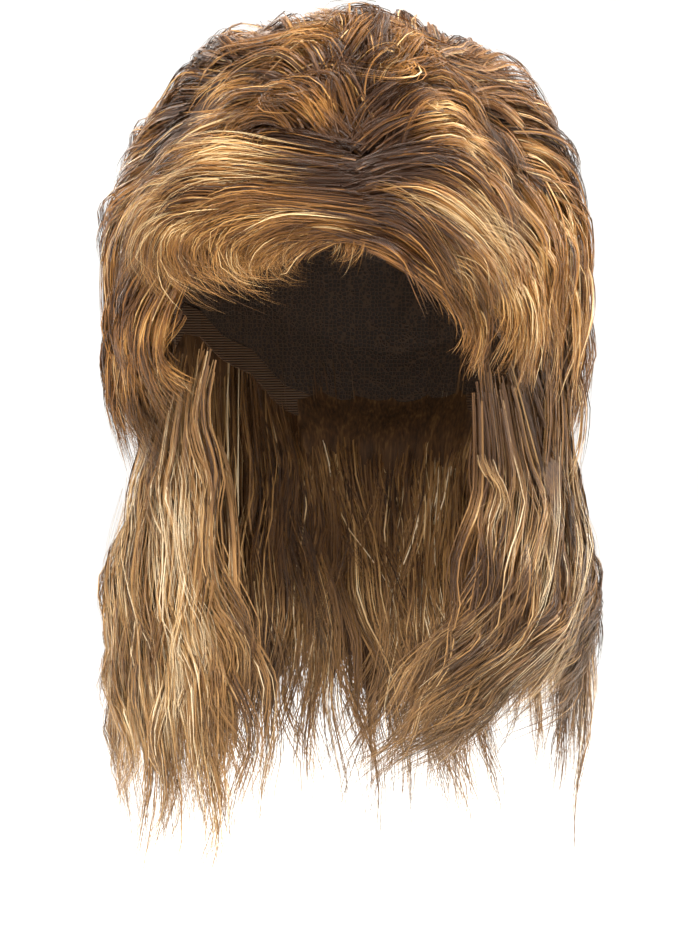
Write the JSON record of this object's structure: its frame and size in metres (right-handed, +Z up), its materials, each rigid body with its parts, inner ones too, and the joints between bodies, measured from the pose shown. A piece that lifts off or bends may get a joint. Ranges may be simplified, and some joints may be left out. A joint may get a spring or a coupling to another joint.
{
  "type": "mullet wig",
  "caption": "Mullet wig: stretch-net cap with an elastic edge, short teased crown, swept fringe and side layers, and long tails at the back and sides.",
  "frame": {"origin": "the point inside the cap where the top of the head touches it", "axes": "+Z up, -Y the way the wearer faces, +X the wearer's left"},
  "size_m": [0.2343, 0.2632, 0.4057],
  "materials": {
    "crown_hair": "glossy golden-brown synthetic fibre with darker roots and pale highlights",
    "tail_hair": "glossy ash-blond and brown synthetic fibre",
    "net": "brown stretch net",
    "band": "brown woven elastic"
  },
  "bodies": {
    "root": {"cap_net": "net", "edge_band": "band", "tail_back": "tail_hair", "tail_left": "tail_hair", "tail_right": "tail_hair", "back_layer": "crown_hair", "side_left": "crown_hair", "side_right": "crown_hair", "fringe": "crown_hair", "crown": "crown_hair"}
  },
  "joints": []
}
